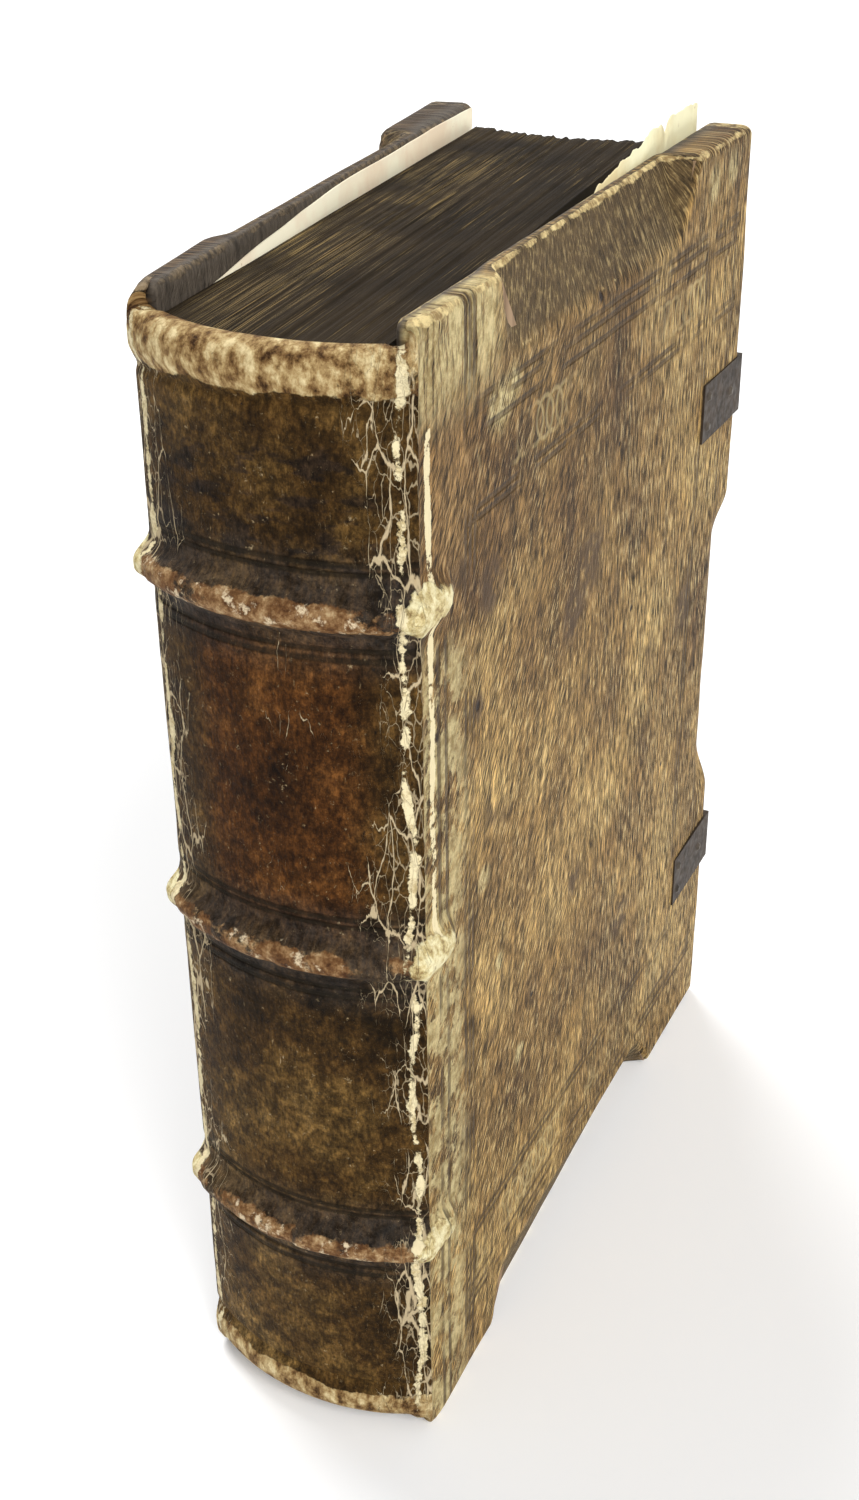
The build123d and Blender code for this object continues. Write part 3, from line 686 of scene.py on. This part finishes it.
leaf_edges = edge_paper()
loose_paper = sheet_paper("loose_leaf_paper", (0.9, 0.85, 0.56), (0.74, 0.62, 0.34))
pasted_paper = sheet_paper("pasted_leaf_paper", (0.95, 0.88, 0.66), (0.86, 0.7, 0.5))
plate_metal = metal("plate_metal", (0.02, 0.013, 0.008), (0.06, 0.042, 0.028), 0.6)
nail_metal = metal("nail_metal", (0.03, 0.024, 0.018), (0.1, 0.08, 0.06), 0.5)
board_wood = wood("board_wood", (0.16, 0.09, 0.04), (0.34, 0.22, 0.12))
peg_wood = wood("peg_wood", (0.25, 0.16, 0.08), (0.45, 0.32, 0.18))
cord_fibre = fibre("cord_fibre", (0.26, 0.19, 0.1), (0.52, 0.42, 0.26))
print("materials:", len(bpy.data.materials))

# %% [markdown]
# ## The covered boards
# A covered board is a rounded block. Its thickness runs from an outer face, which sinks into long bevels at
# the head and tail and a short one at the fore-edge, to a flat inner face. Over each band a round bulge shows
# the cord that is laced into the wood.


# %% Board surfaces
BEVEL_WIDTH = 14.2
BEVEL_START = 29.5
BEVEL_END = 122.0
BEVEL_RAMP = 10.0
FORE_BEVEL = (61.5, 137.6, 12.0, 3.2)
BULGE_END = 9.0


def wood_at(depth):
    """Thickness of the tapered board."""
    return WOOD_AT_SPINE + (WOOD_AT_FORE_EDGE - WOOD_AT_SPINE) * depth / DEPTH


def bevel_fall(depth, high, edge_left):
    """How far the outer face sinks: the long bevel by an end is (distance past its line / width) of the wood,
    stopped by slanting ramps, and the short fore-edge bevel is the same turned through a right angle."""
    from_end = np.minimum(high, HEIGHT - high)
    inside = 1 - from_end / BEVEL_WIDTH
    near = BEVEL_START + BEVEL_RAMP * (1 - inside) * 0.25
    far = BEVEL_END - BEVEL_RAMP * (1 - inside)
    window = smooth(near - 1.5, near + 3.5, depth) * (1 - smooth(far - 3.5, far + 1.5, depth))
    long = np.clip(inside, 0, 1) * (wood_at(depth) - edge_left) * window
    low, high_end, width, fall = FORE_BEVEL
    side = np.clip((depth - (DEPTH - width)) / width, 0, 1)
    return np.maximum(long, side * fall * smooth(low, low + 11, high) * (1 - smooth(high_end - 11, high_end, high)))


def bulge_rise(depth, high):
    """The rise over the laced cord ends: a round-ended ridge, one for each band."""
    rise = np.zeros_like(depth)
    for band in BANDS:
        away = np.hypot(np.maximum(depth - BULGE_END + 3, 0), high - band)
        rise = np.maximum(rise, 1.9 * (1 - smooth(0.5, 5.4, away)))
    return rise


def board_outside(depth, high, edge_left, seed):
    """Outward place of the covered board's outer face."""
    uneven = 0.22 * noise(depth, high, 26, seed) + 0.1 * noise(depth, high, 9, seed + 1)
    hollow = 0.7 * (1 - smooth(0, 5, depth))
    return bulge_rise(depth, high) - bevel_fall(depth, high, edge_left) + uneven - hollow


def to_world(outward, depth, high, side):
    """Board places, outwards, deep and up, to the book's frame: side is 1 for the front, -1 for the back."""
    turn = math.radians(FRONT_TURN if side > 0 else BACK_TURN)
    hinge = hinges["front_cover" if side > 0 else "back_cover"]
    x = hinge[0] + side * outward * math.cos(turn) - depth * math.sin(turn)
    y = hinge[1] + side * outward * math.sin(turn) + depth * math.cos(turn)
    return np.stack([x, y, high], 1)


def board_masks(depth, high, share, edge_left):
    """Where the skin is rubbed along its edges, lies on a bevel, faces inwards or covers a cord's end."""
    ends = np.clip(np.minimum(high, HEIGHT - high), 0, None)
    sunk = bevel_fall(depth, high, edge_left)
    bevel = smooth(0.1, 0.8, sunk) * (ends < BEVEL_WIDTH + 1)
    thick = np.minimum(share, 1 - share) * (wood_at(depth) + 2 * LEATHER - sunk)
    edge = 1 - smooth(0.4, 2.1 - 0.7 * bevel, np.hypot(np.minimum(ends, DEPTH - depth), thick))
    corner = 1 - smooth(2, 14, np.hypot(ends, DEPTH - depth))
    ridge = np.exp(-((sunk - 0.35) / 0.3) ** 2) * 0.45 * (ends < BEVEL_WIDTH + 1)
    edge = np.maximum(edge, np.maximum(corner * 0.75, ridge))
    bulge = smooth(0.5, 1.5, bulge_rise(depth, high)) * (0.8 + 0.3 * noise(depth, high, 5, 33))
    outer = 1 - smooth(0.35, 0.5, share)
    return {"edge": edge, "bevel": bevel * outer, "inner": smooth(0.5, 0.8, share), "bulge": bulge * outer}


def covered_board(name, side, edge_left, seed):
    """The rounded block: each place is pulled in towards an inner block by the corner radius, then its share
    of the thickness is carried between the outer and inner faces."""
    thick, start, radius = 8.0, 0.8, 1.8
    places, quads = block_lattice(steps(-thick, 0, 3, 2.6), steps(start, DEPTH, 118, 3, 5), steps(0, HEIGHT, 168, 3, 5))
    lows = np.array([-thick, start, 0])
    highs = np.array([0, DEPTH, HEIGHT])
    inner = np.clip(places, lows + radius, highs - radius)
    away = places - inner
    places = inner + radius * away / np.linalg.norm(away, axis=1)[:, None]
    share = -places[:, 0] / thick
    depth, high = places[:, 1], places[:, 2]
    inside = -LEATHER - wood_at(depth) - TURN_IN
    outward = board_outside(depth, high, edge_left, seed) * (1 - share) + inside * share
    return make_piece(name, to_world(outward, depth, high, side), quads, np.stack([depth, high], 1),
                      board_masks(depth, high, share, edge_left))


front_cover = covered_board("front_cover_leather", 1, 1.0, 3)
finish_piece(front_cover, front_leather, "front_cover", ["front_leather"])
back_cover = covered_board("back_cover_leather", -1, 1.4, 8)
finish_piece(back_cover, back_leather, "back_cover", ["back_leather"])


# %% [markdown]
# ## The rounded back
# The back is one profile of heights and radii, swung round an upright axis. Each raised band is a smooth hump
# with a shallow groove at its foot, and at head and tail the profile rolls over the endband into a cap.


# %% Spine surface
CAP_RADIUS = 2.9
CAP_END = 3.6
CAP_HEIGHT = 7.0
SKIN_ANGLE = math.radians(31.2)
RIDGE_ANGLE = math.radians(29.2)
CAP_ANGLE = math.radians(26.5)


def band_rise(high):
    """Height of the humps over the cords and of the shallow grooves beside them."""
    rise = np.zeros_like(high)
    for band in BANDS:
        gap = np.abs(high - band)
        rise += 3.3 * (1 - smooth(0.6, 4.4, gap)) - 0.35 * np.exp(-((gap - 6.2) / 0.9) ** 2)
    return rise


def cap_rise(high):
    """The cap stands a little proud, with a groove under it."""
    from_end = np.minimum(high, HEIGHT - high) - CAP_END
    return 0.9 * (1 - smooth(4.5, CAP_HEIGHT + 0.5, from_end)) - 0.6 * np.exp(-((from_end - 8.2) / 0.8) ** 2)


def back_surface(angle, high, ridges=1.0):
    """Radius of the back at an angle and height."""
    round_mm = angle * BACK_RADIUS
    uneven = 0.16 * noise(round_mm, high, 13, 5) + 0.07 * noise(round_mm, high, 4, 6)
    dents = -0.5 * smooth(0.35, 0.8, noise(round_mm, high, 6, 7)) * smooth(0.8, 2.6, band_rise(high))
    return BACK_RADIUS + band_rise(high) * ridges + cap_rise(high) + uneven + dents


def back_place(radius, angle, high):
    """A radius, angle and height round the back's axis, in the book's frame."""
    return np.stack([back_axis[0] + radius * np.sin(angle), back_axis[1] - radius * np.cos(angle), high], 1)


def back_masks(angle, high):
    """Where the skin is rubbed on the bands and caps, cracked towards the joints, and flaked in a line."""
    round_mm = angle * BACK_RADIUS
    crest = smooth(1.0, 2.9, band_rise(high)) * (0.72 + 0.4 * noise(round_mm, high, 9, 21))
    from_end = np.minimum(high, HEIGHT - high) - CAP_END
    cap = 1 - smooth(CAP_HEIGHT - 1.4, CAP_HEIGHT + 0.2, from_end + 0.8 * noise(round_mm, high, 6, 30))
    cap = cap * (0.92 + 0.25 * noise(round_mm, high, 4, 31))
    joint = smooth(0.35, 1.0, np.abs(angle) / JOINT_ANGLE)
    away = (JOINT_ANGLE - np.abs(angle)) * BACK_RADIUS - 2.4 + 0.9 * noise(high, angle * 0, 11, 40)
    line = np.exp(-(away / 1.15) ** 2)
    return {"crest": crest, "cap": cap, "joint": joint, "line": line}


def spine_covering():
    """The profile over the back, with a rolled cap at both ends, swung from joint to joint."""
    angles = np.linspace(-SKIN_ANGLE, SKIN_ANGLE, 110)
    low, top = CAP_END + CAP_RADIUS, HEIGHT - CAP_END - CAP_RADIUS
    heights = np.linspace(low, top, 330)
    turn = np.linspace(0, math.radians(215), 14)[1:]
    path_high = np.concatenate([(low - CAP_RADIUS * np.sin(turn))[::-1], heights, top + CAP_RADIUS * np.sin(turn)])
    curl = CAP_RADIUS * (1 - np.cos(turn))
    path_in = np.concatenate([curl[::-1], np.zeros(len(heights)), curl])
    angle, high = np.meshgrid(angles, path_high, indexing="ij")
    angle, high = angle.ravel(), high.ravel()
    inwards = np.tile(path_in, len(angles)) * (1 - 0.7 * smooth(CAP_ANGLE, RIDGE_ANGLE, np.abs(angle)))
    ridges = 1 - smooth(RIDGE_ANGLE - 0.05, RIDGE_ANGLE, np.abs(angle))
    radius = back_surface(angle, np.clip(high, low, top), ridges) - inwards
    uv = np.stack([angle * BACK_RADIUS, high + inwards * np.sign(high - HEIGHT / 2)], 1)
    piece = make_piece("spine_covering", back_place(radius, angle, high), grid_quads(len(angles), len(path_high))[:, ::-1], uv,
                       back_masks(angle, high), outward=False)
    wall = piece.modifiers.new("wall", "SOLIDIFY")
    wall.thickness = 0.6 * MM
    wall.offset = 0
    return piece


spine = spine_covering()
finish_piece(spine, spine_leather, "book_block", ["spine_leather"])


# %% [markdown]
# ## The joints
# A narrow strip of the same skin lies over each joint. It starts on the rounded back and ends on the board, and its
# shape is blended from the back's to the board's across the joint.


# %% Joint strips
STRIP = 5.0
STRIP_LIFT = 0.32


def joint_strip(name, side, edge_left, seed):
    """Across the strip the place runs along the back to the joint and then along the board. Up the strip it
    runs from a roll at the tail to a roll at the head, and the rolls climb from the cap to the board's edge."""
    across = np.linspace(-1, 1, 41)
    turn = np.linspace(0, math.radians(120), 9)[1:]
    up_steps = np.linspace(0, 1, 330)
    share, run = np.meshgrid(across, np.arange(len(up_steps) + 2 * len(turn)), indexing="ij")
    share, run = share.ravel(), run.ravel()
    on_board = smooth(-0.6, 0.4, share)
    margin = CAP_END * (1 - on_board)
    curl = CAP_RADIUS * (1 - on_board) + 1.5 * on_board
    rolled = np.concatenate([turn[::-1], np.zeros(len(up_steps)), turn])[run]
    straight = np.concatenate([np.zeros(len(turn)), up_steps, np.ones(len(turn))])[run]
    low, top = margin + curl, HEIGHT - margin - curl + 0.1 * on_board
    flat_high = low + (top - low) * straight
    high = flat_high + np.sign(straight - 0.5) * curl * np.sin(rolled)
    inwards = curl * (1 - np.cos(rolled))
    lift = (STRIP_LIFT * (1 - share ** 2) ** 2 - 0.04) - inwards
    angle = side * (JOINT_ANGLE + np.minimum(share, 0) * STRIP / BACK_RADIUS)
    on_back = back_place(back_surface(angle, flat_high) + lift, angle, high)
    depth = np.maximum(share, 0) * STRIP
    board_side = to_world(board_outside(depth, flat_high, edge_left, seed) + lift, depth, high, side)
    weight = smooth(-0.35, 0.35, share)[:, None]
    places = on_back * (1 - weight) + board_side * weight
    quads = grid_quads(len(across), run.max() + 1)
    if side > 0:
        quads = quads[:, ::-1]
    arc = angle * BACK_RADIUS + side * depth
    masks = {**board_masks(depth, high, np.zeros_like(depth), edge_left), **back_masks(angle, flat_high)}
    fresh = {"crest": 1 - 0.3 * on_board, "cap": 1 + 0 * on_board, "edge": on_board}
    for key, fade in fresh.items():
        masks[key] = masks[key] * fade
    masks["line"] = masks["line"] * (share < 0.02)
    nearest = np.min([np.hypot(share * STRIP - 1.0, high - band) for band in BANDS], 0)
    round_end = (1 - smooth(2.8, 5.6, nearest)) * (0.85 + 0.3 * noise(share * STRIP, high, 3, 34))
    masks["bulge"] = np.maximum(masks["bulge"] * smooth(-0.3, 0.3, share), round_end)
    piece = make_piece(name, places, quads, np.stack([arc, high], 1), masks, outward=False)
    corners = np.zeros(len(piece.data.loops), int)
    piece.data.loops.foreach_get("vertex_index", corners)
    over_board = share[quads].mean(1) > 0.02
    board_uv = (np.stack([depth, high], 1)[corners] / 100)
    uv = np.zeros(len(corners) * 2, np.float32)
    piece.data.uv_layers["place"].data.foreach_get("uv", uv)
    uv = np.where(np.repeat(over_board, 4)[:, None], board_uv, uv.reshape(-1, 2))
    piece.data.uv_layers["place"].data.foreach_set("uv", uv.astype(np.float32).ravel())
    wall = piece.modifiers.new("wall", "SOLIDIFY")
    wall.thickness = 0.5 * MM
    wall.offset = -1
    return piece, over_board


def add_strip(name, side, edge_left, seed, leather):
    """Make a strip, give each half the leather that it carries on from, and blend it across its joint."""
    piece, over_board = joint_strip(name, side, edge_left, seed)
    finish_piece(piece, spine_leather)
    piece.data.materials.append(leather)
    piece.data.polygons.foreach_set("material_index", over_board.astype(np.int32))
    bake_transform(piece)


add_strip("front_joint", 1, 1.0, 3, front_leather)
add_strip("back_joint", -1, 1.4, 8, back_leather)


# %% [markdown]
# ## The leaves
# The leaves are one stack. Its plan is a leaning strip, round at the back and hollow at the fore-edge, and the
# head and fore-edge rise and fall a little from gathering to gathering.


# %% Text block
def leaf_stack():
    """Place is a share across, from back board to front, a share deep and a share up. The sides are straight
    lines, and the two ends of each leaf lie on the round back and on the hollow fore-edge."""
    across, quads = block_lattice(np.linspace(0, 1, 150), np.linspace(0, 1, 50), np.linspace(0, 1, 60))
    share, deep, up = across.T
    half, open_half = LEAVES_AT_SPINE / 2, LEAVES_AT_FORE_EDGE / 2
    reach = DEPTH - FORE_SQUARE
    shift = reach * math.tan(math.radians(LEAVES_LEAN))
    near = (2 * share - 1) * half
    far = (2 * share - 1) * open_half - shift
    radius = BACK_RADIUS - 1.4
    back = BACK_RADIUS - SPINE_ROUND - np.sqrt(radius ** 2 - near ** 2)
    gathered = noise(share * 40, share * 0, 1.0, 12)
    fore = reach - FORE_HOLLOW * (1 - (2 * share - 1) ** 2) + 0.35 * gathered
    x = near * (1 - deep) + far * deep
    y = back * (1 - deep) + fore * deep
    rise = 0.22 * gathered + 0.12 * noise(share * 40, deep * 3, 0.35, 13)
    z = SQUARE + (HEIGHT - 2 * SQUARE) * up + rise * smooth(0.97, 1.0, up)
    places = np.stack([x + spine_middle[0], y + spine_middle[1], z], 1)
    uv = np.stack([share * LEAVES_AT_SPINE, deep * reach], 1)
    return make_piece("leaf_stack", places, quads, uv)


leaves = finish_piece(leaf_stack(), leaf_edges, "book_block", ["text_block"])


# %% [markdown]
# ## The loose leaf and the pasted leaf
# Both are thin sheets on a board's inner face. The loose one inside the front board stands above the board,
# with its head torn away in steps, and curls a little where nothing holds it.


# %% Sheets
def inner_leaf(name, side, head, foot, start, end, curl):
    """A sheet from its foot to a head line, with a slight cockle that grows towards its free head."""
    grid, quads = block_lattice(np.array([0.0, 1.0]), np.linspace(start, end, 220), np.linspace(0, 1, 60))
    share, depth, up = grid.T
    high = foot + (head(depth) - foot) * up
    free = smooth(HEIGHT - 30, HEIGHT + 2, high)
    lift = 0.12 + free * (curl + 0.5 * np.abs(noise(depth, high, 17, 60)))
    outward = -LEATHER - wood_at(depth) - TURN_IN - 0.05 - 0.28 * share - lift
    return make_piece(name, to_world(outward, depth, high, side), quads, np.stack([depth, high], 1))


def torn_head(depth):
    """Height of the torn edge: a rough climb with a deep notch, and small tears all along."""
    points = np.array([(78, -6), (88, -0.5), (103, 1.6), (113, 2.6), (121, 4.6), (126.5, 4.2), (129, 1.4), (132, 4.6),
                       (138, 4.2), (144, 4.9), (151, 4.4)], float)
    rough = 0.35 * noise(depth, depth * 0, 2.2, 70) + 0.2 * noise(depth, depth * 0, 0.9, 71)
    return HEIGHT + np.minimum(np.interp(depth, points[:, 0], points[:, 1]) + rough, 4.9)


def slanted_head(depth):
    """Height of the pasted leaf's head, lower by the spine."""
    return HEIGHT - 6.1 + 5.5 * np.sin(np.minimum(depth / 85, 1) * math.pi / 2) ** 1.3 + 0.2 * noise(depth, depth * 0, 12, 75)


loose = inner_leaf("loose_leaf", 1, torn_head, 5.0, 4.5, 151.0, 0.25)
finish_piece(loose, loose_paper, "front_cover", ["front_leaf"])
pasted = inner_leaf("pasted_leaf", -1, slanted_head, 3.0, 4.5, 153.0, 0.0)
finish_piece(pasted, pasted_paper, "back_cover", ["back_pastedown"])

# %% [markdown]
# ## Pieces that keep their solid shape
# The catch plates, nails, boards, pegs, cords and endbands are right as they are, so they only get materials.

# %% Materials on the solid pieces
KEPT = {"catch_plate_upper": plate_metal, "catch_plate_lower": plate_metal, "catch_plate_nails": nail_metal,
        "front_board": board_wood, "back_board": board_wood, "front_pegs": peg_wood, "back_pegs": peg_wood,
        "front_cord_slips": cord_fibre, "back_cord_slips": cord_fibre, "headband": cord_fibre,
        "tailband": cord_fibre, "sewing_cord_1": cord_fibre, "sewing_cord_2": cord_fibre, "sewing_cord_3": cord_fibre}
for name, material in KEPT.items():
    nodes[name].data.materials.clear()
    nodes[name].data.materials.append(material)
print("kept", len(KEPT), "solid pieces")

# %% [markdown]
# ## Floor, light and camera
# A pale floor that looks white and still takes a soft shadow, a broad soft light on the front board, and a
# camera above the joint of the front board, looking down at 29 degrees.


# %% Stage
def pale_floor():
    """A wide floor plane that looks white to the camera apart from the object's shadow."""
    mesh = bpy.data.meshes.new("floor")
    far = 6.0
    mesh.from_pydata([(-far, -far, 0), (far, -far, 0), (far, far, 0), (-far, far, 0)], [], [(0, 1, 2, 3)])
    floor = bpy.data.objects.new("floor", mesh)
    bpy.context.scene.collection.objects.link(floor)
    material, tree, shader = new_material("floor_paint", 0.9)
    shader.inputs["Base Color"].default_value = (0.9, 0.9, 0.9, 1)
    shader.inputs["Specular IOR Level"].default_value = 0.0
    path = tree.nodes.new("ShaderNodeLightPath")
    seen = sums(tree, "MAXIMUM", path.outputs["Is Camera Ray"], path.outputs["Is Glossy Ray"])
    tree.links.new(sums(tree, "MULTIPLY", seen, 0.12), shader.inputs["Emission Strength"])
    shader.inputs["Emission Color"].default_value = (1, 1, 1, 1)
    floor.data.materials.append(material)


def pale_world():
    """Soft light all round, seen as white."""
    world = bpy.data.worlds.new("studio")
    bpy.context.scene.world = world
    world.use_nodes = True
    tree = world.node_tree
    tree.nodes.clear()
    path = tree.nodes.new("ShaderNodeLightPath")
    seen = sums(tree, "MAXIMUM", path.outputs["Is Camera Ray"], path.outputs["Is Glossy Ray"])
    strength = sums(tree, "ADD", 0.4, sums(tree, "MULTIPLY", seen, 0.6))
    back = add(tree, "ShaderNodeBackground", {"Color": (1, 1, 1, 1), "Strength": strength})
    out = tree.nodes.new("ShaderNodeOutputWorld")
    tree.links.new(back, out.inputs[0])


def wide_light(name, from_way, spread, strength):
    """A broad light from far off, so that it is as strong on all of the floor: spread is its width in degrees."""
    data = bpy.data.lights.new(name, "SUN")
    data.angle = math.radians(spread)
    data.energy = strength
    light = bpy.data.objects.new(name, data)
    bpy.context.scene.collection.objects.link(light)
    light.rotation_euler = (-Vector(from_way)).to_track_quat("-Z", "Y").to_euler()


pale_floor()
pale_world()
wide_light("key", (0.8, -0.5, 0.75), 30, 2.3)
wide_light("over", (-0.62, 0.4, 0.9), 32, 2.3)

AZIMUTH, ELEVATION, ROLL = map(math.radians, (28.397, 29.01, -0.666))
FOCAL_PIXELS, LONG_SIDE = 1845.0, 1500.0
ahead = Vector((-math.sin(AZIMUTH) * math.cos(ELEVATION), math.cos(AZIMUTH) * math.cos(ELEVATION), -math.sin(ELEVATION)))
level_right = ahead.cross(Vector((0, 0, 1))).normalized()
level_up = level_right.cross(ahead)
right = math.cos(ROLL) * level_right + math.sin(ROLL) * level_up
up = -math.sin(ROLL) * level_right + math.cos(ROLL) * level_up
camera_data = bpy.data.cameras.new("camera")
camera_data.lens = FOCAL_PIXELS / LONG_SIDE * camera_data.sensor_width
camera = bpy.data.objects.new("camera", camera_data)
bpy.context.scene.collection.objects.link(camera)
turned = Matrix((right, up, -ahead)).transposed().to_4x4()
spot = Vector((0.66215, -1.00797, 1.32951)) * HEIGHT + Vector((*spine_middle, 0))
camera.matrix_world = Matrix.Translation(spot * MM) @ turned
bpy.context.scene.camera = camera
bpy.context.scene.view_settings.view_transform = "Standard"
print("camera at", [round(value, 4) for value in camera.location])
